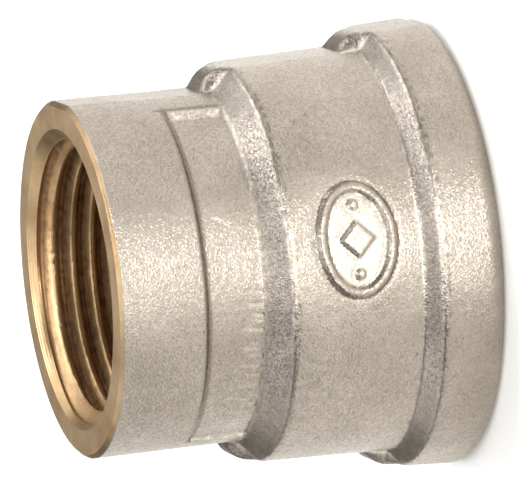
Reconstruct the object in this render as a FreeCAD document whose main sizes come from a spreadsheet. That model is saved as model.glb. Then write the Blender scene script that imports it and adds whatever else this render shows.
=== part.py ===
"""Reducing socket, G1 female at the bottom and G3/4 female at the top: a nickel-plated brass forging.

The axis is +Z. The part stands on the end face of its large socket, at z = 0, and its origin is the centre of
that face. -Y is the front, where the raised oval sits. The forging itself is built with its two dies meeting in
the plane y = 0, so that its trimmed lands run up the +X and -X sides, and is then turned a little about the axis.
Both threads are left as plain walls at their minor radii, between a chamfered mouth and a relief. Sizes are in
millimetres.
"""
import FreeCAD
import Part
import Sketcher
import math
import os

SIZES = {
    # outside of the forging: radii, and heights above the large end face
    "overall_length": 35.0,
    "small_end_radius": 16.3,
    "neck_radius": 16.2,
    "middle_top_radius": 18.3,
    "middle_bottom_radius": 18.6,
    "large_top_radius": 20.2,
    "large_bottom_radius": 20.5,
    "neck_foot": 21.25,
    "middle_shoulder": 19.3,
    "middle_foot": 7.15,
    "large_shoulder": 5.9,
    # lands where the flash was trimmed off: flats, with rounder shoulders that start higher up than the cones
    "trim_depth": 0.27,
    "land_middle_shoulder": 19.6,
    "land_large_shoulder": 6.5,
    "land_upper_bulge": 2.5,
    "land_lower_bulge": 2.7,
    "land_sweep": 21.0,
    "die_turn": -8.0,
    # recessed panel round the neck, one in each die
    "panel_top": 27.1,
    "panel_depth": 0.3,
    "panel_sweep": 137.0,
    # raised oval on the front of the middle, with a lozenge and two pips in its field
    "oval_centre": 13.25,
    "oval_half_width": 5.3,
    "oval_half_height": 3.85,
    "oval_rim": 0.8,
    "oval_rise": 0.35,
    "lozenge_radius": 1.7,
    "pip_offset": 3.1,
    "pip_radius": 0.45,
    # machined faces
    "end_chamfer": 0.4,
    "mouth_allowance": 0.5,
    "waterway_radius": 10.8,
    "relief_length": 1.6,
    "relief_depth": 0.15,
    # G3/4 and G1 sockets
    "small_major_radius": 13.2205,
    "small_minor_radius": 12.0585,
    "small_socket_depth": 14.0,
    "large_major_radius": 16.6245,
    "large_minor_radius": 15.1455,
    "large_socket_depth": 16.0,
    # nickel coat, and how far cutting tools reach past what they cut
    "plating_thickness": 0.1,
    "coat_angle": 0.35,
    "tool_reach": 4.0,
}
COAT = ("plating_thickness",)  # what a wall of the bare forging is short of its plated place

doc = FreeCAD.newDocument("ReducingSocket")
sheet = doc.addObject("Spreadsheet::Sheet", "Sizes")
for row, (alias, value) in enumerate(SIZES.items(), start=1):
    sheet.set(f"A{row}", alias)
    sheet.set(f"B{row}", str(value))
    sheet.setAlias(f"B{row}", alias)
doc.recompute()


def expression(terms):
    """The sum of some cells of the sheet. A term is an alias, or "-alias" to take that cell away."""
    return " ".join(f"{'-' if term[0] == '-' else '+'} Sizes.{term.lstrip('-')}" for term in terms)


def total(terms):
    """The same sum as a number, to draw a sketch close to its solved shape."""
    return sum(-SIZES[term[1:]] if term[0] == "-" else SIZES[term] for term in terms)


def less(terms):
    """The same terms with their signs changed."""
    return [term[1:] if term[0] == "-" else f"-{term}" for term in terms]


def constrain(sketch, kind, *where, formula):
    """Add a constraint that holds a length, and bind it to cells of the sheet."""
    index = sketch.addConstraint(Sketcher.Constraint(kind, *where))
    sketch.setExpression(f"Constraints[{index}]", formula)


def revolved_outline(sketch, corners, arcs=()):
    """Draw a closed outline in (radius, height), counter-clockwise, every corner held by the sheet.

    An edge whose index is in arcs maps to the cell of its radius. It bulges outwards, leaves its first corner
    parallel to the axis, and so sets the height of its second corner, which is given as None.
    """
    arcs = dict(arcs)
    points = []
    for index, (radius, height) in enumerate(corners):
        r = total(radius)
        if height is None:
            bulge, (r_before, z_before) = SIZES[arcs[index - 1]], points[-1]
            z = z_before + math.sqrt(bulge**2 - (bulge - r_before + r) ** 2)
        else:
            z = total(height)
        points.append((r, z))
    for index, (r, z) in enumerate(points):
        r_next, z_next = points[(index + 1) % len(points)]
        if index in arcs:
            bulge = SIZES[arcs[index]]
            centre = FreeCAD.Vector(r - bulge, z, 0)
            circle = Part.Circle(centre, FreeCAD.Vector(0, 0, 1), bulge)
            sketch.addGeometry(Part.ArcOfCircle(circle, 0, math.atan2(z_next - z, r_next - centre.x)))
        else:
            sketch.addGeometry(Part.LineSegment(FreeCAD.Vector(r, z, 0), FreeCAD.Vector(r_next, z_next, 0)))
    for index, (radius, height) in enumerate(corners):
        sketch.addConstraint(Sketcher.Constraint("Coincident", index, 2, (index + 1) % len(corners), 1))
        if index in arcs:
            constrain(sketch, "Radius", index, SIZES[arcs[index]], formula=f"Sizes.{arcs[index]}")
            sketch.addConstraint(Sketcher.Constraint("Horizontal", index, 3, index, 1))
        for kind, terms, axis in (("DistanceX", radius, -2), ("DistanceY", height, -1)):
            if terms:
                constrain(sketch, kind, -1, 1, index, 1, total(terms), formula=expression(terms))
            elif terms is not None:
                sketch.addConstraint(Sketcher.Constraint("PointOnObject", index, 1, axis))


def sketch_in(body, name, plane):
    """A sketch on one of the body's own origin planes, with its second axis up."""
    sketch = body.newObject("Sketcher::SketchObject", name)
    sketch.AttachmentSupport = [(next(f for f in body.Origin.OriginFeatures if f.Role == plane), "")]
    sketch.MapMode = "FlatFace"
    return sketch


def turned(body, kind, name, plane, corners, arcs=()):
    """A revolution or groove about Z, made from one outline."""
    sketch = sketch_in(body, f"{name}_outline", plane)
    revolved_outline(sketch, corners, arcs)
    feature = body.newObject(f"PartDesign::{kind}", name)
    feature.Profile = sketch
    feature.ReferenceAxis = (sketch, ["V_Axis"])
    return feature


def land_outline(inset):
    """Corners and arcs of the lands' outline, from the large end face up."""
    corners = [
        ((), ()),
        (("large_bottom_radius", *inset), ()),
        (("large_top_radius", *inset), ("land_large_shoulder",)),
        (("middle_bottom_radius", *inset), None),
        (("middle_top_radius", *inset), ("land_middle_shoulder",)),
        (("neck_radius", *inset), None),
        (("small_end_radius", *inset), ("overall_length",)),
        ((), ("overall_length",)),
    ]
    return corners, {2: "land_lower_bulge", 4: "land_upper_bulge"}


def forging(name, coat):
    """The forging before trimming, from its dies. With a coat its walls are all one coat further in."""
    body = doc.addObject("PartDesign::Body", name)
    inset = less(coat)
    turn_in = ["-coat_angle"] if coat else []
    die = turned(
        body,
        "Revolution",
        f"{name}_die",
        "YZ_Plane",
        [
            ((), ()),
            (("large_bottom_radius", *inset), ()),
            (("large_top_radius", *inset), ("large_shoulder",)),
            (("middle_bottom_radius", *inset), ("middle_foot",)),
            (("middle_top_radius", *inset), ("middle_shoulder",)),
            (("neck_radius", *inset), ("neck_foot",)),
            (("small_end_radius", *inset), ("overall_length",)),
            ((), ("overall_length",)),
        ],
    )
    land = turned(body, "Revolution", f"{name}_land", "XZ_Plane", *land_outline(inset))
    land.Midplane = True
    land.setExpression("Angle", expression(["land_sweep", *turn_in, *turn_in]))
    opposite = mirrored(body, f"{name}_opposite_land", [land], land.Profile[0])
    panel = turned(
        body,
        "Groove",
        f"{name}_panel",
        "YZ_Plane",
        [
            (("neck_radius", "-panel_depth", *inset), ("neck_foot", "panel_depth")),
            (("neck_radius", *inset), ("neck_foot",)),
            (("neck_radius", "tool_reach"), ("neck_foot",)),
            (("neck_radius", "tool_reach"), ("panel_top", *coat)),
            (("neck_radius", "-panel_depth", *inset), ("panel_top", *coat)),
        ],
    )
    panel.Midplane = True
    panel.setExpression("Angle", expression(["panel_sweep", *less(turn_in), *less(turn_in)]))
    mirrored(body, f"{name}_opposite_panel", [panel], die.Profile[0])
    return body


def mirrored(body, name, features, sketch):
    """The same features on the far side of the axis, across the plane that stands on a sketch's own axis."""
    far = body.newObject("PartDesign::Mirrored", name)
    far.Originals = features
    far.MirrorPlane = (sketch, ["V_Axis"])
    body.Tip = far
    return far


def trimming_prism(name, coat):
    """What the trimming tool leaves: the lands' outline, drawn in a little and carried right across."""
    body = doc.addObject("PartDesign::Body", name)
    sketch = sketch_in(body, f"{name}_outline", "XZ_Plane")
    revolved_outline(sketch, *land_outline(["-trim_depth", *less(coat)]))
    pad = body.newObject("PartDesign::Pad", f"{name}_pad")
    pad.Profile = sketch
    pad.SideType = "Symmetric"
    pad.setExpression("Length", "2 * (Sizes.large_bottom_radius + Sizes.tool_reach)")
    mirrored(body, f"{name}_other_half", [pad], sketch)
    return body


def boolean(kind, name, base, tool):
    """Cut or Common of two objects."""
    result = doc.addObject(f"Part::{kind}", name)
    result.Base = base
    result.Tool = tool
    return result


def fused(name, shapes):
    """One object made of several that touch or overlap."""
    result = doc.addObject("Part::MultiFuse", name)
    result.Shapes = shapes
    return result


def pointing_forward(obj, sideways=()):
    """Turn an object's own Z to -Y and put it at the height of the oval's centre."""
    obj.Placement.Rotation = FreeCAD.Rotation(FreeCAD.Vector(1, 0, 0), 90)
    obj.setExpression("Placement.Base.z", "Sizes.oval_centre")
    if sideways:
        obj.setExpression("Placement.Base.x", expression(sideways))


def oval_prism(name, inset):
    """A prism along -Y with the oval's outline, drawn in by the terms of inset."""
    ellipse = doc.addObject("Part::Ellipse", f"{name}_outline")
    ellipse.setExpression("MajorRadius", expression(["oval_half_width", *inset]))
    ellipse.setExpression("MinorRadius", expression(["oval_half_height", *inset]))
    pointing_forward(ellipse)
    prism = doc.addObject("Part::Extrusion", name)
    prism.Base = ellipse
    prism.DirMode = "Custom"
    prism.Dir = FreeCAD.Vector(0, -1, 0)
    prism.Solid = True
    prism.setExpression("LengthFwd", "Sizes.middle_bottom_radius + Sizes.tool_reach")
    return prism


def marking(name, coat):
    """The raised oval, lozenge and pips as prisms that run from the axis out past the front."""
    inset = less(coat)
    outer = oval_prism(f"{name}_oval", inset)
    field = oval_prism(f"{name}_field", ["-oval_rim", *coat])
    lozenge = doc.addObject("Part::Prism", f"{name}_lozenge")
    lozenge.Polygon = 4
    lozenge.setExpression("Circumradius", expression(["lozenge_radius", *inset]))
    pips = []
    for side in ("", "-"):
        pip = doc.addObject("Part::Cylinder", f"{name}_pip")
        pip.setExpression("Radius", expression(["pip_radius", *inset]))
        pointing_forward(pip, [f"{side}pip_offset"])
        pips.append(pip)
    pointing_forward(lozenge)
    for pillar in (lozenge, *pips):
        pillar.setExpression("Height", "Sizes.middle_bottom_radius + Sizes.tool_reach")
    return fused(f"{name}_marks", [boolean("Cut", f"{name}_rim", outer, field), lozenge, *pips])


def marked_forging(name, blank, coat=()):
    """The forging with its raised marks, and with both ends faced and chamfered."""
    limit = doc.addObject("Part::Cone", f"{name}_mark_limit")
    limit.setExpression("Radius1", expression(["middle_bottom_radius", "oval_rise", *less(coat)]))
    limit.setExpression("Radius2", expression(["middle_top_radius", "oval_rise", *less(coat)]))
    limit.setExpression("Height", "Sizes.middle_shoulder - Sizes.middle_foot")
    limit.setExpression("Placement.Base.z", "Sizes.middle_foot")
    raised = boolean("Common", f"{name}_raised", marking(name, coat), limit)
    trimmed = boolean("Common", f"{name}_trimmed", forging(name, coat), trimming_prism(f"{name}_trim", coat))
    trimmed.setExpression("Placement.Rotation.Angle", "Sizes.die_turn")
    return boolean("Common", f"{name}_faced", fused(f"{name}_whole", [trimmed, raised]), blank)


def faced_blank():
    """A turned solid, wider than the forging, whose cones cut the chamfers on both outer edges."""
    body = doc.addObject("PartDesign::Body", "faced_blank")
    widest = ("large_bottom_radius", "tool_reach")
    turned(
        body,
        "Revolution",
        "end_faces",
        "XZ_Plane",
        [
            ((), ()),
            (("large_bottom_radius", "-end_chamfer"), ()),
            (widest, ("end_chamfer", "tool_reach")),
            (widest, ("overall_length", "small_end_radius", "-end_chamfer", *(f"-{term}" for term in widest))),
            (("small_end_radius", "-end_chamfer"), ("overall_length",)),
            ((), ("overall_length",)),
        ],
    )
    return body


def waterway():
    """The turned hollow: the bores of two sockets with their mouths and reliefs, and the way between."""
    body = doc.addObject("PartDesign::Body", "waterway")
    large_mouth = ("large_major_radius", "mouth_allowance")
    small_mouth = ("small_major_radius", "mouth_allowance")
    large_relief = ("large_socket_depth", "-relief_length")
    small_floor = ("overall_length", "-small_socket_depth")
    turned(
        body,
        "Revolution",
        "hollow",
        "XZ_Plane",
        [
            ((), ()),
            (large_mouth, ()),
            (("large_minor_radius",), (*large_mouth, "-large_minor_radius")),
            (("large_minor_radius",), large_relief),
            (("large_major_radius", "relief_depth"), large_relief),
            (("large_major_radius", "relief_depth"), ("large_socket_depth",)),
            (("waterway_radius",), ("large_socket_depth",)),
            (("waterway_radius",), small_floor),
            (("small_major_radius", "relief_depth"), small_floor),
            (("small_major_radius", "relief_depth"), (*small_floor, "relief_length")),
            (("small_minor_radius",), (*small_floor, "relief_length")),
            (
                ("small_minor_radius",),
                ("overall_length", "small_minor_radius", "-small_major_radius", "-mouth_allowance"),
            ),
            (small_mouth, ("overall_length",)),
            ((), ("overall_length",)),
        ],
    )
    return body


blank = faced_blank()
plated = marked_forging("plated_outside", blank)
bare = marked_forging("brass_outside", blank, COAT)

parts = {
    "brass_body": boolean("Cut", "brass_body", bare, waterway()),
    "nickel_plating": boolean("Cut", "nickel_plating", plated, bare),
}
doc.recompute()

failed = [obj.Label for obj in doc.Objects if {"Invalid", "Error"} & set(obj.State)]
if failed:
    raise RuntimeError(f"these objects failed: {failed}")
for node, obj in parts.items():
    if obj.Shape.isNull() or not obj.Shape.isValid() or len(obj.Shape.Solids) != 1:
        raise RuntimeError(f"{node} isn't one valid solid")
os.makedirs("parts", exist_ok=True)
for node, obj in parts.items():
    obj.Shape.exportStep(f"parts/{node}.step")
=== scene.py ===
"""Looks of a nickel-plated brass reducing socket: its forged, plated outside and its turned and threaded brass.

Sizes are in millimetres and become metres where a mesh is placed. Angles go round the axis from the front, -Y,
towards +X. The object stands on its large end face, at height 0.
"""

import math

import bmesh
import bpy
import numpy as np
from mathutils import Matrix, Vector, noise


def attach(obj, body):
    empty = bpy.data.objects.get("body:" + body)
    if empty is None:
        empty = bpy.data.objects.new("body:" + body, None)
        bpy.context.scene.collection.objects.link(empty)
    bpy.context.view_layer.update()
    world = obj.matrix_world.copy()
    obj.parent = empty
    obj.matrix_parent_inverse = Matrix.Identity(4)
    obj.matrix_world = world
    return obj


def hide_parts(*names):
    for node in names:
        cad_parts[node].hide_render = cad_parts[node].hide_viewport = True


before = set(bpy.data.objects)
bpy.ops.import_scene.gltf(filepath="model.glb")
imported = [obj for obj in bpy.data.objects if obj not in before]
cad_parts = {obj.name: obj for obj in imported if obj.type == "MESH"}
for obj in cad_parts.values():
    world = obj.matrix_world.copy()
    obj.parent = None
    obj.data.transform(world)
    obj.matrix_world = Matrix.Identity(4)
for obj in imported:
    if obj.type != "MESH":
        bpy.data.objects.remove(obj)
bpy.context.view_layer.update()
bpy.ops.object.select_all(action="DESELECT")

MM = 0.001

# Heights above the large end face, and radii, down the outside of the forging.
LENGTH = 35.0
FOOT_RADIUS, MOUTH_RADIUS = 20.5, 16.3
LOWER_SHOULDER, LOWER_FOOT = 5.9, 7.15
UPPER_SHOULDER, UPPER_FOOT = 19.3, 21.25
DIE_OUTLINE = (
    (0, FOOT_RADIUS), (LOWER_SHOULDER, 20.2), (LOWER_FOOT, 18.6),
    (UPPER_SHOULDER, 18.3), (UPPER_FOOT, 16.2), (LENGTH, MOUTH_RADIUS),
)
# over how many mm the outline's corners are rounded, at some heights
DIE_SOFTNESS = (
    (0, 0.3), (LOWER_SHOULDER, 0.38), (LOWER_FOOT, 0.25), (13, 0.4),
    (UPPER_SHOULDER, 0.38), (UPPER_FOOT, 0.28), (LENGTH, 0.3),
)
END_CHAMFER = 0.4
FOOT_ROUND = 1.5
COAT = 0.1

# Lands up both sides, where the flash between the two dies was trimmed off flat.
DIE_TURN = -8.0
LAND_HALF_SWEEP = 10.5
TRIM_DEPTH = 0.27
# each land's shoulder and foot, as height and radius, then the centre's radius and the radius of the bulge between
LOWER_BULGE = ((6.5, 20.2), (8.97, 18.6), 17.5, 2.7)
UPPER_BULGE = ((19.6, 18.3), (22.07, 16.2), 15.8, 2.5)

# The recessed panels round the neck, one in each die.
PANEL_FOOT, PANEL_TOP = UPPER_FOOT, 27.1
PANEL_DEPTH = 0.3
PANEL_HALF_SWEEP = 68.5

# The raised oval on the front, and what is in it.
OVAL_TURN, OVAL_HEIGHT = 2.4, 13.1
OVAL_HALF_WIDTH, OVAL_HALF_HEIGHT = 5.2, 3.65
OVAL_RIM, OVAL_RISE = 0.8, 0.35
OVAL_REACH = 60  # no part of the oval is further round than this
LOZENGE_RADIUS = 1.7
PIP_OFFSET, PIP_RADIUS = 3.1, 0.45

# Sockets: minor radius, pitch, radius of the mouth at its face, radius of the relief.
SMALL_THREAD = {"minor": 12.0585, "pitch": 1.814, "mouth": 13.7205, "relief": 13.3705}
LARGE_THREAD = {"minor": 15.1455, "pitch": 2.309, "mouth": 17.1245, "relief": 16.7745}
SMALL_RELIEF_TOP, SMALL_FLOOR = 22.6, 21.0
LARGE_FLOOR, LARGE_RELIEF_FOOT = 16.0, 14.4
WATERWAY = 10.8

SKIN_COLUMNS, SKIN_ROWS = 440, 200
# heights where the skin's rows crowd together, by how much, and over what distance
ROW_CROWDING = (
    (0.2, 2.0, 0.6), (LOWER_SHOULDER, 0.5, 0.8), (LOWER_FOOT, 1.5, 0.5), (13.25, 0.4, 4),
    (UPPER_SHOULDER, 0.5, 0.8), (UPPER_FOOT, 1.5, 0.5), (26.9, 2.5, 0.5),
)
BRASS_COLUMNS = 360

# The outside's usual radius, which turns an angle into a distance along it.
USUAL_RADIUS = 18


# ---------------------------------------------------------------- shape of the forging


def eased(value, start, end):
    """0 up to start, 1 past end, and a soft step between them."""
    share = np.clip((value - start) / (end - start), 0, 1)
    return share * share * (3 - 2 * share)


def from_centre(angle, centre):
    """How many degrees an angle is from a centre, from -180 to 180."""
    return (angle - centre + 180) % 360 - 180


def uneven(angle, height, grain, seed):
    """A random swell over the outside, about -1 to 1, whose lumps are grain mm across."""
    turn = np.radians(angle)
    places = np.stack([USUAL_RADIUS * np.sin(turn), -USUAL_RADIUS * np.cos(turn), height], 1) / grain + 31.7 * seed
    return np.array([noise.noise(Vector(place)) for place in places])


def die_radius(height):
    """The dies' outline, its shoulders rounded and its feet nearly sharp."""
    softness = np.interp(height, *zip(*DIE_SOFTNESS))
    taps = ((-1, 1), (-0.5, 2), (0, 3), (0.5, 2), (1, 1))
    heights, radii = zip(*DIE_OUTLINE)
    radius = sum(weight * np.interp(height + tap * softness, heights, radii) for tap, weight in taps) / 9
    return radius - foot_rounding(height)


def foot_rounding(height):
    """What the rounded edge of the large end takes off."""
    return FOOT_ROUND - np.sqrt(np.clip(FOOT_ROUND**2 - np.clip(FOOT_ROUND - height, 0, None) ** 2, 0, None))


def land_radius(height):
    """The lands' outline: the dies' own, but with a round bulge past each shoulder."""
    corners = ((0, FOOT_RADIUS), *LOWER_BULGE[:2], *UPPER_BULGE[:2], (LENGTH, MOUTH_RADIUS))
    outline = np.interp(height, *zip(*corners))
    for (shoulder, _), (foot, _), centre, bulge in (LOWER_BULGE, UPPER_BULGE):
        round_nose = centre + np.sqrt(np.clip(bulge**2 - (height - shoulder) ** 2, 0, None))
        outline = np.where((height > shoulder) & (height < foot), round_nose, outline)
    return outline - foot_rounding(height)


def panel_share(angle, height):
    """1 in the recessed panels and 0 outside. The wall nearest +X of the front panel is the widest."""
    in_height = eased(height, PANEL_FOOT - 0.1, PANEL_FOOT + 0.3) * (1 - eased(height, PANEL_TOP - 0.5, PANEL_TOP))
    front = from_centre(angle, DIE_TURN)
    back = from_centre(angle, DIE_TURN + 180)
    sweep = PANEL_HALF_SWEEP
    in_front = (1 - eased(front, sweep - 6, sweep)) * eased(front, -sweep, -sweep + 3)
    in_back = 1 - eased(np.abs(back), sweep - 3, sweep)
    return in_height * np.maximum(in_front, in_back)


def place_in_oval(angle, height, radius):
    """How far across and up from the oval's centre a point is, how far inside its edge, and if it is in front."""
    across = radius * np.sin(np.radians(from_centre(angle, OVAL_TURN)))
    up = height - OVAL_HEIGHT
    share = np.hypot(across / OVAL_HALF_WIDTH, up / OVAL_HALF_HEIGHT) + 1e-6
    slope = np.hypot(across / OVAL_HALF_WIDTH**2, up / OVAL_HALF_HEIGHT**2) / share + 1e-6
    return across, up, (1 - share) / slope, np.abs(from_centre(angle, 0)) < OVAL_REACH


def oval_rise(angle, height, radius):
    """How far the oval, the lozenge and the pips stand out of the middle of the forging."""
    across, up, inside, in_front = place_in_oval(angle, height, radius)
    wobble = 0.05 * uneven(angle, height, 1.6, 5)
    inside = inside + wobble
    on_rim = np.abs(inside - OVAL_RIM / 2) / (OVAL_RIM / 2 + 0.12)
    rim = np.clip(1 - on_rim**3, 0, 1)
    in_lozenge = (LOZENGE_RADIUS - np.abs(across) - np.abs(up)) / math.sqrt(2) + wobble / 2
    in_pip = PIP_RADIUS - np.hypot(np.abs(across) - PIP_OFFSET, up)
    marks = np.maximum(eased(in_lozenge, -0.06, 0.26), eased(in_pip, -0.1, 0.22))
    off_edge = np.minimum(OVAL_RIM / 2 * (on_rim * 1.3 - 1.0), -np.maximum(in_lozenge, in_pip))
    moat = np.exp(-(((off_edge - 0.22) / 0.2) ** 2)) * (off_edge > -0.1)
    raised = OVAL_RISE * np.maximum(rim, marks) - 0.05 * moat
    return np.where(in_front, raised, 0)


def oval_finish(angle, height, radius, blotches):
    """Painted shade along both edges of the oval's rim and round its marks, and the brightness of the field in it."""
    across, up, inside, in_front = place_in_oval(angle, height, radius)
    edges = np.exp(-(((inside + 0.05) / 0.13) ** 2)) + 1.2 * np.exp(-(((inside - OVAL_RIM - 0.05) / 0.14) ** 2))
    in_lozenge = (LOZENGE_RADIUS - np.abs(across) - np.abs(up)) / math.sqrt(2)
    marks = np.exp(-(((in_lozenge + 0.08) / 0.16) ** 2))
    field = 0.45 * eased(inside, OVAL_RIM, OVAL_RIM + 0.25)
    return in_front * (edges * (0.35 + 0.65 * blotches) * 0.7 + 0.5 * marks), in_front * field


# angle, lower end, upper end and lean of each scratch
SCRATCHES = (
    (-34, 16.2, 18.4, 2), (-38, 17.0, 19.0, -1), (-44, 15.8, 17.6, 1), (-52, 22.2, 24.0, 2),
    (-21, 22.5, 23.6, -2), (-30, 21.9, 23.4, 1), (12, 24.1, 25.6, 3), (78, 16.0, 18.0, -3),
)


def dents(angle, height):
    """Knocks from the tumbling bin and scratches: depth to take away, and how bright the scratches are."""
    chance = np.random.default_rng(12)
    depth, scratched = np.zeros(len(angle)), np.zeros(len(angle))
    for _ in range(70):
        at_angle, at_height = chance.uniform(-180, 180), chance.uniform(0.8, 34.2)
        size, deep = chance.uniform(0.18, 0.5), chance.uniform(0.02, 0.06)
        away = np.hypot(USUAL_RADIUS * np.radians(from_centre(angle, at_angle)), height - at_height)
        depth = np.maximum(depth, deep * (1 - eased(away, 0.25 * size, size)))
    ticks = [
        (at_angle + chance.uniform(-1.5, 1.5), 21.5 + chance.uniform(0, 0.5), 22.3 + chance.uniform(0, 1.2), 0.6)
        for at_angle in np.arange(-66, -8, 3.2)
    ]
    for at_angle, foot, top, lean in (*SCRATCHES, *ticks):
        along = (height - foot) / (top - foot)
        aside = np.abs(USUAL_RADIUS * np.radians(from_centre(angle, at_angle + lean * along)))
        mark = (1 - eased(aside, 0.05, 0.22)) * ((along > 0) & (along < 1))
        depth = np.maximum(depth, 0.05 * mark)
        scratched = np.maximum(scratched, (0.25 if foot > 20 else 0.1) * mark)
    return depth, scratched


def forged(angle, height):
    """Radius of the plated outside, how raw its skin is, and how much painted shade and how much wear and painted
    highlight it takes there, from 0 to 1.
    """
    radius = die_radius(height)
    ragged = height + 0.2 * uneven(angle, height, 0.7, 7)
    cone = eased(ragged, 5.8, 6.3) * (1 - eased(ragged, 6.95, 7.25))
    cone = np.maximum(cone, eased(ragged, 19.3, 19.8) * (1 - eased(ragged, 20.95, 21.3)))
    share = panel_share(angle, height)
    radius = radius - PANEL_DEPTH * share
    beyond = from_centre(angle, DIE_TURN) - PANEL_HALF_SWEEP
    beside_panel = (height > PANEL_FOOT) * (1 - eased(height, PANEL_TOP, PANEL_TOP + 1))
    crease = np.exp(-(((beyond - 0.6) / 0.8) ** 2)) * beside_panel
    radius = radius - 0.09 * crease
    wall = 2 * share * (1 - share)
    middle = eased(height, LOWER_FOOT, LOWER_FOOT + 0.45) * (1 - eased(height, 18.6, 19.2))
    radius = radius + middle * oval_rise(angle, height, radius)
    land_share, land_edge = np.zeros(len(angle)), np.zeros(len(angle))
    for centre in (90 + DIE_TURN, 270 + DIE_TURN):
        away = np.abs(from_centre(angle, centre))
        edge = LAND_HALF_SWEEP + 0.5 * uneven(angle, height, 3.0, 3)
        in_land = 1 - eased(away, edge - 5.5, edge + 0.3)
        land_share = np.maximum(land_share, 1 - eased(away, edge - 1, edge + 2))
        bulge = np.clip(land_radius(height) - die_radius(height), 0, None) * in_land
        radius = radius + bulge
        trim = TRIM_DEPTH * (1 - eased(height, 27.5, 31) * (0.85 if centre > 180 else 0.3))
        radius = np.minimum(radius, (radius - trim) / np.cos(np.radians(np.minimum(away, 40))))
        bulging = np.clip(bulge / 0.3, 0, 1)
        land_edge = np.maximum(land_edge, np.exp(-(((away - edge + 0.6) / 0.8) ** 2)) * (bulge > 0.02))
        cone = cone * (1 - in_land)
        wall = np.maximum(wall, 0.35 * in_land * bulging)
    raw = np.clip(np.maximum(cone * (1 - 0.5 * eased(-angle, 40, 75)), wall), 0, 1)
    front_panel = np.abs(from_centre(angle, DIE_TURN)) < PANEL_HALF_SWEEP
    # painted shade: a dark band just inside the front panel, under its top step, where its wall lies in shadow
    painted_shade = 0.8 * front_panel * np.exp(-(((height - PANEL_TOP + 0.33) / 0.4) ** 4))
    # random blotches that break up the painted shade below the shoulders and round the oval
    blotches = eased(uneven(angle, height, 0.5, 11), 0.05, 0.35)
    # painted light follows the light: the shoulders' painted shade and highlight are full from -12 degrees round
    # through +X, and fade on the -X side
    painted_light_side = (1 - land_share) * (0.15 + 0.85 * eased(angle, -35, -12))
    # painted shadow: a thin dark line just below each shoulder
    for shoulder in (LOWER_SHOULDER, UPPER_SHOULDER):
        painted_shade = np.maximum(painted_shade, 0.75 * blotches * painted_light_side * np.exp(-(((height - shoulder + 0.45) / 0.14) ** 2)))
    # painted shade round the oval's rim and its marks, where shadow gathers at their edges
    oval_painted_shade, oval_field = oval_finish(angle, height, radius, blotches)
    painted_shade = np.maximum(painted_shade, middle * oval_painted_shade)
    # painted shade in the crease beside the front panel
    painted_shade = np.maximum(painted_shade, 0.8 * crease)
    # painted highlight: paler along the lands' edges; the oval's field is paler too, and the scratches below add real
    # wear
    wear_and_highlight = np.maximum(0.8 * land_edge, middle * oval_field)
    # painted highlight: a thin pale line along each shoulder and foot of the cones, like a rounded edge catching the
    # light
    for ridge, wide in ((5.95, 0.16), (7.25, 0.12), (19.4, 0.16), (21.35, 0.13)):
        on_ridge = (1 - land_share) * np.exp(-(((height - ridge + 0.08 * uneven(angle, height, 0.9, 6)) / wide) ** 2))
        wear_and_highlight = np.maximum(wear_and_highlight, (0.4 + 0.5 * eased(uneven(angle, height, 0.6, 13), -0.1, 0.3)) * on_ridge * painted_light_side)
        radius = radius + (0.05 * on_ridge if ridge in (5.95, 19.4) else 0)
    # painted highlight on the panel's side walls, which face the light
    at_side = (np.abs(from_centre(angle, DIE_TURN)) > 50) * (height < PANEL_TOP - 0.6)
    on_wall = eased(4 * share * (1 - share), 0.1, 0.6) * at_side
    wear_and_highlight = np.maximum(wear_and_highlight, on_wall * (0.25 + 0.45 * eased(uneven(angle, height, 0.4, 14), -0.2, 0.3)))
    radius = radius + 0.022 * uneven(angle, height, 4.5, 1) + (0.01 + 0.016 * raw) * uneven(angle, height, 0.7, 2)
    depth, scratched = dents(angle, height)
    radius = radius - depth
    wear_and_highlight = np.maximum(wear_and_highlight, scratched)
    return np.minimum(radius, FOOT_RADIUS), raw, np.clip(painted_shade, 0, 1), np.clip(wear_and_highlight, 0, 1)


# ---------------------------------------------------------------- modelling by hand


def edit(kind="VERT"):
    """Go into edit mode with one kind of selection and nothing selected."""
    bpy.ops.object.mode_set(mode="EDIT")
    bpy.ops.mesh.select_mode(type=kind)
    bpy.ops.mesh.select_all(action="DESELECT")


def done():
    bpy.ops.object.mode_set(mode="OBJECT")


def select(kind, chosen):
    """Select the vertices, edges or faces of the mesh in edit mode that chosen says."""
    shape = bmesh.from_edit_mesh(bpy.context.edit_object.data)
    for part in getattr(shape, kind):
        part.select_set(chosen(part))
    shape.select_flush_mode()
    bmesh.update_edit_mesh(bpy.context.edit_object.data)


def points_of(piece):
    """The piece's vertices in mm."""
    flat = np.empty(3 * len(piece.data.vertices))
    piece.data.vertices.foreach_get("co", flat)
    return flat.reshape(-1, 3) / MM


def place_points(piece, angle, radius, height):
    """Put each vertex at its angle round the axis, radius and height, all in mm and degrees."""
    turn = np.radians(angle)
    places = np.stack([radius * np.sin(turn), -radius * np.cos(turn), height], 1) * MM
    piece.data.vertices.foreach_set("co", places.ravel())
    piece.data.update()


def round_the_axis(points):
    """Angle from the front, radius and height of points."""
    return np.degrees(np.arctan2(points[:, 0], -points[:, 1])), np.hypot(points[:, 0], points[:, 1]), points[:, 2]


def drawn_line(name, corners):
    """A wire through corners of (radius, height), in the plane y = 0."""
    (radius, height), rest = corners[0], corners[1:]
    bpy.ops.mesh.primitive_plane_add(size=MM, location=(radius * MM, 0, height * MM))
    wire = bpy.context.object
    wire.name = wire.data.name = name
    bpy.ops.object.transform_apply()
    edit()
    bpy.ops.mesh.select_all(action="SELECT")
    bpy.ops.mesh.merge(type="CENTER")
    for next_radius, next_height in rest:
        step = ((next_radius - radius) * MM, 0, (next_height - height) * MM)
        bpy.ops.mesh.extrude_region_move(TRANSFORM_OT_translate={"value": step})
        radius, height = next_radius, next_height
    done()
    return wire


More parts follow.
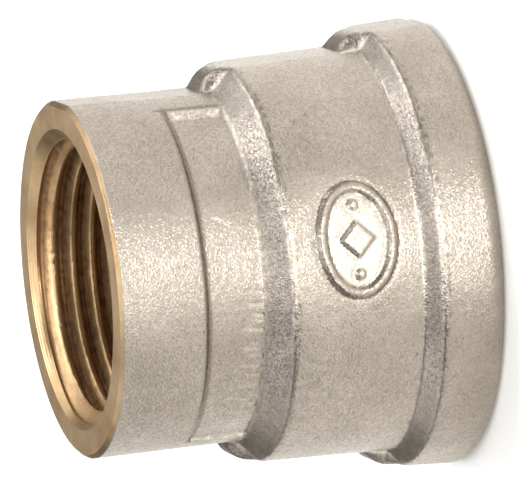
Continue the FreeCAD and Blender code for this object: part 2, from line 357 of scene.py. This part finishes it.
def spun(name, corners):
    """A wire spun once round the axis and closed."""
    piece = drawn_line(name, corners)
    edit()
    bpy.ops.mesh.select_all(action="SELECT")
    bpy.ops.mesh.spin(steps=BRASS_COLUMNS, angle=2 * math.pi, center=(0, 0, 0), axis=(0, 0, 1))
    bpy.ops.mesh.select_all(action="SELECT")
    bpy.ops.mesh.remove_doubles(threshold=0.002 * MM)
    done()
    return piece


# the coat's hidden inner wall, from the mouth down, as radius and height
INNER_WALL = (
    (16.2, 34.7), (15.75, 34.3), (15.75, 21.1), (17.85, 19.0), (17.95, 7.2), (19.5, 5.7), (19.3, 1.5), (18.85, 0.01),
)


def nickel_skin():
    """The plated outside: a finely divided tube, forged to shape, closed by a wall that lies inside it."""
    bpy.ops.mesh.primitive_cylinder_add(
        vertices=SKIN_COLUMNS, radius=MOUTH_RADIUS * MM, depth=LENGTH * MM, end_fill_type="NOTHING",
        location=(0, 0, LENGTH / 2 * MM),
    )
    piece = bpy.context.object
    piece.name = piece.data.name = "nickel_skin"
    bpy.ops.object.transform_apply()
    edit("EDGE")
    for cuts in (1, SKIN_ROWS // 2 - 1):
        select("edges", lambda edge: abs(edge.verts[0].co.z - edge.verts[1].co.z) > 1e-5)
        bpy.ops.mesh.subdivide(number_cuts=cuts)
    done()
    angle, _, height = round_the_axis(points_of(piece))
    turn = np.radians(angle)
    angle = np.degrees(turn - 0.38 * np.sin(turn))  # finer round the front, where the marks are
    levels = np.linspace(0, LENGTH, 2001)
    crowding = 0.8 + sum(much * np.exp(-(((levels - at) / spread) ** 2)) for at, much, spread in ROW_CROWDING)
    share = np.concatenate([[0], np.cumsum((crowding[1:] + crowding[:-1]) / 2)])
    height = np.interp(height / LENGTH, share / share[-1], levels)
    height = height * (LENGTH - END_CHAMFER) / LENGTH
    radius, raw, painted_shade, wear_and_highlight = forged(angle, height)
    place_points(piece, angle, radius, height)
    skin = len(raw)
    edit("EDGE")
    top = (LENGTH - END_CHAMFER) * MM
    select("edges", lambda edge: edge.is_boundary and min(v.co.z for v in edge.verts) > top - 1e-6)
    middle = Vector((0, 0, 0))
    at_radius, at_height = MOUTH_RADIUS, LENGTH - END_CHAMFER
    for next_radius, next_height in INNER_WALL:
        grow = next_radius / at_radius
        bpy.ops.mesh.extrude_region_move(TRANSFORM_OT_translate={"value": (0, 0, (next_height - at_height) * MM)})
        bpy.ops.transform.resize(value=(grow, grow, 1), center_override=middle)
        at_radius, at_height = next_radius, next_height
    # the wall's last ring meets the skin's lowest
    select("edges", lambda edge: edge.is_boundary)
    bpy.ops.mesh.bridge_edge_loops()
    bpy.ops.mesh.select_all(action="SELECT")
    bpy.ops.mesh.normals_make_consistent(inside=False)
    done()
    for name, share in (("raw_forging", raw), ("painted_shade", painted_shade), ("wear_and_painted_highlight", wear_and_highlight)):
        values = np.zeros(len(piece.data.vertices), np.float32)
        values[:skin] = share
        piece.data.attributes.new(name, "FLOAT", "POINT").data.foreach_set("value", values)
    return piece


def thread(name, size, foot, top, turns, chamfer_top):
    """A female thread of 55 degree form, rounded at crest and root, between a relief and a chamfered mouth."""
    pitch = size["pitch"]
    form = (
        (0, 0), (0.06, 0.0138), (0.1218, 0.0739), (0.25, 0.32), (0.3782, 0.5664), (0.44, 0.6265), (0.5, 0.6403),
        (0.56, 0.6265), (0.6218, 0.5664), (0.75, 0.32), (0.8782, 0.0739), (0.94, 0.0138), (1, 0),
    )
    start = foot - 1.5 * pitch
    piece = drawn_line(name, [(size["minor"] + depth * pitch, start + along * pitch) for along, depth in form])
    bpy.ops.object.modifier_add(type="SCREW")
    screw = piece.modifiers[-1]
    screw.angle = 2 * math.pi
    screw.screw_offset = pitch * MM
    screw.iterations = turns
    screw.steps = screw.render_steps = BRASS_COLUMNS
    bpy.ops.object.modifier_apply(modifier=screw.name)
    angle, radius, height = round_the_axis(points_of(piece))
    radius = radius + 0.015 * uneven(angle, height, 0.9, 8)
    torn = eased(uneven(angle, height, 0.45, 10), 0.35, 0.6) * (radius < size["minor"] + 0.25 * pitch)
    radius = radius + 0.1 * torn
    from_mouth = (top - height) if chamfer_top else (height - foot)
    chamfer = size["mouth"] - np.clip(from_mouth, 0, None)
    chipped = chamfer + 0.05 * np.abs(uneven(angle, height, 0.35, 9)) * (from_mouth > 0.9)
    radius = np.maximum(radius, chipped)
    at_relief = (height <= foot) if chamfer_top else (height >= top)
    at_mouth = (height >= top) if chamfer_top else (height <= foot)
    radius = np.where(at_relief, size["relief"], np.where(at_mouth, size["mouth"], radius))
    place_points(piece, angle, radius, np.clip(height, foot, top))
    return piece


def brass_core():
    """The brass inside the coat: machined ends, both threads, and the way between them."""
    small = thread("small_thread", SMALL_THREAD, SMALL_RELIEF_TOP, LENGTH, 10, True)
    large = thread("large_thread", LARGE_THREAD, 0, LARGE_RELIEF_FOOT, 9, False)
    way = spun("waterway", [
        (SMALL_THREAD["relief"], SMALL_RELIEF_TOP), (SMALL_THREAD["relief"], SMALL_FLOOR + 0.15),
        (SMALL_THREAD["relief"] - 0.15, SMALL_FLOOR), (WATERWAY + 0.25, SMALL_FLOOR), (WATERWAY, SMALL_FLOOR - 0.25),
        (WATERWAY, LARGE_FLOOR + 0.25), (WATERWAY + 0.25, LARGE_FLOOR), (LARGE_THREAD["relief"] - 0.15, LARGE_FLOOR),
        (LARGE_THREAD["relief"], LARGE_FLOOR - 0.15), (LARGE_THREAD["relief"], LARGE_RELIEF_FOOT),
    ])
    face = np.linspace(SMALL_THREAD["mouth"], MOUTH_RADIUS - END_CHAMFER, 5)
    outside = spun("brass_outside", [
        *((radius, LENGTH) for radius in face), (MOUTH_RADIUS - COAT + 0.01, LENGTH - END_CHAMFER + COAT - 0.01),
        (15.5, 34.2), (15.5, 21.1), (17.55, 18.8), (17.6, 6.9), (19.1, 5.5), (18.85, 1.5),
        (FOOT_RADIUS - FOOT_ROUND - 0.02, 0), (LARGE_THREAD["mouth"], 0),
    ])
    angle, radius, height = round_the_axis(points_of(outside))
    for rim, rim_height in ((MOUTH_RADIUS, LENGTH - END_CHAMFER), (FOOT_RADIUS - FOOT_ROUND, 0)):
        near = (radius > rim - END_CHAMFER - 0.05) & (np.abs(height - rim_height) < 0.45)
        true_rim = forged(angle[near], np.full(near.sum(), float(rim_height)))[0]
        radius[near] += true_rim - rim
    place_points(outside, angle, radius, height)
    for piece in (small, large, way, outside):
        piece.select_set(True)
    bpy.context.view_layer.objects.active = outside
    bpy.ops.object.join()
    outside.name = outside.data.name = "brass_core"
    edit()
    bpy.ops.mesh.select_all(action="SELECT")
    bpy.ops.mesh.remove_doubles(threshold=0.004 * MM)
    bpy.ops.mesh.normals_make_consistent(inside=False)
    done()
    bpy.ops.object.select_all(action="DESELECT")
    return outside


# ---------------------------------------------------------------- materials


def colour(code):
    """Linear RGBA of an sRGB hex value."""
    values = [int(code[i : i + 2], 16) / 255 for i in (1, 3, 5)]
    return (*(v / 12.92 if v <= 0.04045 else ((v + 0.055) / 1.055) ** 2.4 for v in values), 1.0)


def add(tree, kind, sockets=(), **settings):
    """Add a node with its settings. Each socket takes a value, or another node's output to link."""
    made = tree.nodes.new(kind)
    for name, value in settings.items():
        setattr(made, name, value)
    for name, value in dict(sockets).items():
        if isinstance(value, bpy.types.NodeSocket):
            tree.links.new(value, made.inputs[name])
        else:
            made.inputs[name].default_value = value
    return made


def per(size):
    """Texture scale whose cells are size mm across."""
    return 1 / (size * MM)


def new_material(name):
    material = bpy.data.materials.new(name)
    material.use_nodes = True
    material.node_tree.nodes.clear()
    return material, material.node_tree


def ramp(tree, factor, *stops):
    """A colour ramp through stops of (place, hex or grey)."""
    made = add(tree, "ShaderNodeValToRGB", {"Fac": factor})
    band = made.color_ramp
    while len(band.elements) < len(stops):
        band.elements.new(0.5)
    for element, (place, value) in zip(band.elements, stops):
        element.position = place
        element.color = colour(value) if isinstance(value, str) else (value, value, value, 1)
    return made.outputs["Color"]


def blasted_nickel():
    """Nickel plate over a shot-blasted brass forging: warm grey, satin, with a sparkle from its fine pits.

    It is greyer and coarser on the raw cones, brown-grey with painted shade in its steps, creases and edges, pale
    with painted highlights on its ridges and walls, and pale where it is scratched.

    The pits of a real one are about 0.1 mm across. They are drawn 0.17 mm across, so that they show.
    """
    material, tree = new_material("blasted_nickel_plate")
    place = add(tree, "ShaderNodeTexCoord").outputs["Object"]
    raw = add(tree, "ShaderNodeAttribute", attribute_name="raw_forging").outputs["Fac"]
    drift = add(tree, "ShaderNodeTexNoise", {"Vector": place, "Scale": per(5), "Detail": 3.0}).outputs["Fac"]
    tone = ramp(tree, drift, (0.3, "#a2988c"), (0.7, "#b0a69a"))
    raw_drift = ramp(tree, drift, (0.35, "#a79e96"), (0.65, "#bfb5aa"))
    raw_tone = add(tree, "ShaderNodeMix", {"Factor": raw, "A": tone, "B": raw_drift}, data_type="RGBA")
    # painted shade: a brown-grey laid over the steps, creases and edges that lie in shadow
    shade_mask = add(tree, "ShaderNodeAttribute", attribute_name="painted_shade").outputs["Fac"]
    shade_strength = add(tree, "ShaderNodeMath", {0: shade_mask, 1: 0.8}, operation="MULTIPLY").outputs[0]
    painted_shade_tone = add(tree, "ShaderNodeMix", {
        "Factor": shade_strength, "A": raw_tone.outputs["Result"], "B": colour("#514435"),
    }, data_type="RGBA")
    # painted highlight: a pale tone on the ridges, the lands' edges and the panel's walls, the same pale as on real
    # scratches
    wear_and_highlight = add(tree, "ShaderNodeAttribute", attribute_name="wear_and_painted_highlight").outputs["Fac"]
    wear_and_highlight_tone = add(tree, "ShaderNodeMix", {
        "Factor": wear_and_highlight, "A": painted_shade_tone.outputs["Result"], "B": colour("#ebe3d4"),
    }, data_type="RGBA")
    pits = add(tree, "ShaderNodeTexVoronoi", {"Vector": place, "Scale": per(0.17)})
    grain = add(tree, "ShaderNodeTexNoise", {"Vector": place, "Scale": per(0.5), "Detail": 3.0}).outputs["Fac"]
    height = add(tree, "ShaderNodeMath", {0: grain, 1: 0.45, 2: pits.outputs["Distance"]}, operation="MULTIPLY_ADD")
    # every grain faces its own way a little
    centred = add(tree, "ShaderNodeVectorMath", {0: pits.outputs["Color"], 1: (0.5, 0.5, 0.5)}, operation="SUBTRACT")
    tilt = add(tree, "ShaderNodeVectorMath", {0: centred.outputs[0], "Scale": 0.15}, operation="SCALE")
    facing = add(tree, "ShaderNodeNewGeometry").outputs["Normal"]
    tilted = add(tree, "ShaderNodeVectorMath", {0: facing, 1: tilt.outputs[0]}, operation="ADD")
    tilted = add(tree, "ShaderNodeVectorMath", {0: tilted.outputs[0]}, operation="NORMALIZE")
    strength = add(tree, "ShaderNodeMapRange", {"Value": raw, "To Min": 0.5, "To Max": 0.9}).outputs[0]
    bump = add(tree, "ShaderNodeBump", {
        "Strength": strength, "Distance": 0.035 * MM, "Height": height.outputs[0], "Normal": tilted.outputs[0],
    })
    # every pit takes its own gloss, which is what sparkles
    own = add(tree, "ShaderNodeSeparateXYZ", {0: pits.outputs["Color"]}).outputs
    rough = add(tree, "ShaderNodeMapRange", {"Value": own["X"], "To Min": 0.29, "To Max": 0.5}).outputs[0]
    # and its own tone, most of all on the raw cones: painted glints and shade of the pits, standing in for the light
    # each grain catches
    dull = add(tree, "ShaderNodeMapRange", {"Value": raw, "To Min": 0.88, "To Max": 0.62}).outputs[0]
    light = add(tree, "ShaderNodeMapRange", {"Value": raw, "To Min": 1.1, "To Max": 1.36}).outputs[0]
    painted_pit_glints = add(tree, "ShaderNodeMapRange", {"Value": own["Y"], "To Min": dull, "To Max": light}).outputs[0]
    final_tone = add(tree, "ShaderNodeVectorMath", {
        0: wear_and_highlight_tone.outputs["Result"], "Scale": painted_pit_glints,
    }, operation="SCALE").outputs[0]
    shader = add(tree, "ShaderNodeBsdfPrincipled", {
        "Base Color": final_tone, "Metallic": 1.0, "Roughness": rough, "Normal": bump.outputs[0],
    })
    add(tree, "ShaderNodeOutputMaterial", {"Surface": shader.outputs[0]})
    return material


def turned_brass():
    """Yellow brass, turned and threaded: bright on its crests, tool-marked, brown where oil stays in its roots.

    Tool marks are real feed marks of about 0.1 mm, drawn 0.2 mm apart, so that they show.
    """
    material, tree = new_material("turned_brass")
    place = add(tree, "ShaderNodeTexCoord").outputs["Object"]
    flat = add(tree, "ShaderNodeVectorMath", {0: place, 1: (1, 1, 0)}, operation="MULTIPLY").outputs[0]
    reach = add(tree, "ShaderNodeVectorMath", {0: flat}, operation="LENGTH").outputs["Value"]
    height = add(tree, "ShaderNodeSeparateXYZ", {0: place}).outputs["Z"]
    drift = add(tree, "ShaderNodeTexNoise", {"Vector": place, "Scale": per(3), "Detail": 4.0}).outputs["Fac"]
    bright = ramp(tree, drift, (0.3, "#aa8b66"), (0.7, "#c8ad85"))
    # depth in the small thread, and in the large thread below the floor between them
    in_large = add(tree, "ShaderNodeMath", {0: height, 1: 18.5 * MM}, operation="LESS_THAN").outputs[0]
    minor = add(tree, "ShaderNodeMapRange", {
        "Value": in_large, "To Min": SMALL_THREAD["minor"] * MM, "To Max": LARGE_THREAD["minor"] * MM,
    }).outputs[0]
    deep = add(tree, "ShaderNodeMath", {0: reach, 1: minor}, operation="SUBTRACT").outputs[0]
    oiled = add(tree, "ShaderNodeMapRange", {
        "Value": deep, "From Min": 0.02 * MM, "From Max": 0.7 * MM, "To Min": 0.1, "To Max": 0.65,
    }).outputs[0]
    below_mouth = add(tree, "ShaderNodeMapRange", {
        "Value": height, "From Min": 33.6 * MM, "From Max": 34.2 * MM, "To Min": 1.0, "To Max": 0.0,
    }).outputs[0]
    above_foot = add(tree, "ShaderNodeMapRange", {
        "Value": height, "From Min": 0.9 * MM, "From Max": 1.5 * MM, "To Min": 0.0, "To Max": 1.0,
    }).outputs[0]
    within = add(tree, "ShaderNodeMath", {0: below_mouth, 1: above_foot}, operation="MULTIPLY").outputs[0]
    dirt = add(tree, "ShaderNodeMath", {0: oiled, 1: within}, operation="MULTIPLY").outputs[0]
    flecks = add(tree, "ShaderNodeTexNoise", {"Vector": place, "Scale": per(0.7), "Detail": 3.0}).outputs["Fac"]
    oil = ramp(tree, flecks, (0.36, "#5a371a"), (0.56, "#a0764a"))
    tone = add(tree, "ShaderNodeMix", {"Factor": dirt, "A": bright, "B": oil}, data_type="RGBA")
    rings = add(tree, "ShaderNodeMath", {0: reach, 1: 2 * math.pi / (0.2 * MM)}, operation="MULTIPLY").outputs[0]
    wave = add(tree, "ShaderNodeMath", {0: rings}, operation="SINE").outputs[0]
    speck = add(tree, "ShaderNodeTexNoise", {"Vector": place, "Scale": per(0.3), "Detail": 2.0}).outputs["Fac"]
    relief = add(tree, "ShaderNodeMath", {0: wave, 1: 0.15, 2: speck}, operation="MULTIPLY_ADD").outputs[0]
    bump = add(tree, "ShaderNodeBump", {"Strength": 0.5, "Distance": 0.04 * MM, "Height": relief})
    rough = add(tree, "ShaderNodeMapRange", {"Value": dirt, "To Min": 0.38, "To Max": 0.62}).outputs[0]
    bare = add(tree, "ShaderNodeMapRange", {"Value": dirt, "To Min": 1.0, "To Max": 0.3}).outputs[0]
    shader = add(tree, "ShaderNodeBsdfPrincipled", {
        "Base Color": tone.outputs["Result"], "Metallic": bare, "Roughness": rough, "Normal": bump.outputs[0],
    })
    add(tree, "ShaderNodeOutputMaterial", {"Surface": shader.outputs[0]})
    return material


def light_table():
    """Matt white acrylic, lit a little from below: one pale tone, and hardly a shadow on it."""
    material, tree = new_material("white_acrylic")
    pale = colour("#f8f8f6")
    shader = add(tree, "ShaderNodeBsdfPrincipled", {
        "Base Color": pale, "Roughness": 0.9, "Emission Color": pale, "Emission Strength": 0.2,
    })
    add(tree, "ShaderNodeOutputMaterial", {"Surface": shader.outputs[0]})
    return material


def finish(piece, material, node):
    piece.data.materials.clear()
    piece.data.materials.append(material)
    bpy.ops.object.select_all(action="DESELECT")
    piece.select_set(True)
    bpy.context.view_layer.objects.active = piece
    bpy.ops.object.shade_smooth_by_angle(angle=math.radians(38))
    piece.select_set(False)
    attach(piece, "root")
    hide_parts(node)


# ---------------------------------------------------------------- camera, light and floor


def aimed(thing, azimuth, elevation, distance, target, roll=0.0):
    """Put a camera or light round a target and point it there. Azimuth goes from the front towards +X."""
    turn, rise = math.radians(azimuth), math.radians(elevation)
    away = Vector((math.sin(turn) * math.cos(rise), -math.cos(turn) * math.cos(rise), math.sin(rise)))
    thing.location = Vector(target) * MM + away * distance * MM
    level = Matrix.Rotation(turn, 3, "Z") @ Matrix.Rotation(math.pi / 2 - rise, 3, "X")
    thing.rotation_euler = (level @ Matrix.Rotation(math.radians(roll), 3, "Z")).to_euler()


def softbox(name, place, target, wide, high, watts):
    """A soft rectangular light at a place in mm, pointed at a target."""
    bpy.ops.object.light_add(type="AREA", location=Vector(place) * MM)
    lamp = bpy.context.object
    lamp.name = name
    lamp.data.shape = "RECTANGLE"
    lamp.data.size, lamp.data.size_y = wide * MM, high * MM
    lamp.data.energy = watts
    lamp.rotation_euler = (Vector(target) - Vector(place)).to_track_quat("-Z", "Y").to_euler()


bpy.ops.object.camera_add()
camera = bpy.context.object
camera.data.lens = 770.6
camera.data.sensor_width = 36
camera.data.clip_end = 10
aimed(camera, 0, 16.24, 1012.4, (1.67, -0.29, 16.79), -96.39)
bpy.context.scene.camera = camera

bpy.ops.mesh.primitive_plane_add(size=3, location=(0, 0, 0))
floor = bpy.context.object
floor.name = "floor"
floor.data.materials.append(light_table())

world = bpy.data.worlds.new("studio")
bpy.context.scene.world = world
world.use_nodes = True
world.node_tree.nodes["Background"].inputs["Color"].default_value = colour("#f4f2ee")
world.node_tree.nodes["Background"].inputs["Strength"].default_value = 0.18
bpy.context.scene.view_settings.view_transform = "Standard"

softbox("floor_box", (40, 70, 220), (30, 50, 0), 120, 120, 0.5)
softbox("front_box", (0, -700, 80), (0, 0, 15), 520, 160, 3.3)
softbox("overhead_box", (0, -160, 520), (0, 0, 25), 420, 300, 0.6)
softbox("edge_box", (0, -420, 480), (0, 0, 20), 140, 70, 0.8)
softbox("plus_x_box", (400, 180, 380), (0, 0, 20), 400, 400, 0.65)
softbox("minus_x_box", (-420, 120, 380), (0, 0, 20), 400, 400, 0.55)
softbox("ridge_box", (480, 30, 300), (0, 0, 20), 200, 120, 0.45)
softbox("mouth_box", (0, 600, 200), (0, 0, 30), 100, 60, 0.02)

# ---------------------------------------------------------------- the object

finish(nickel_skin(), blasted_nickel(), "nickel_plating")
finish(brass_core(), turned_brass(), "brass_body")
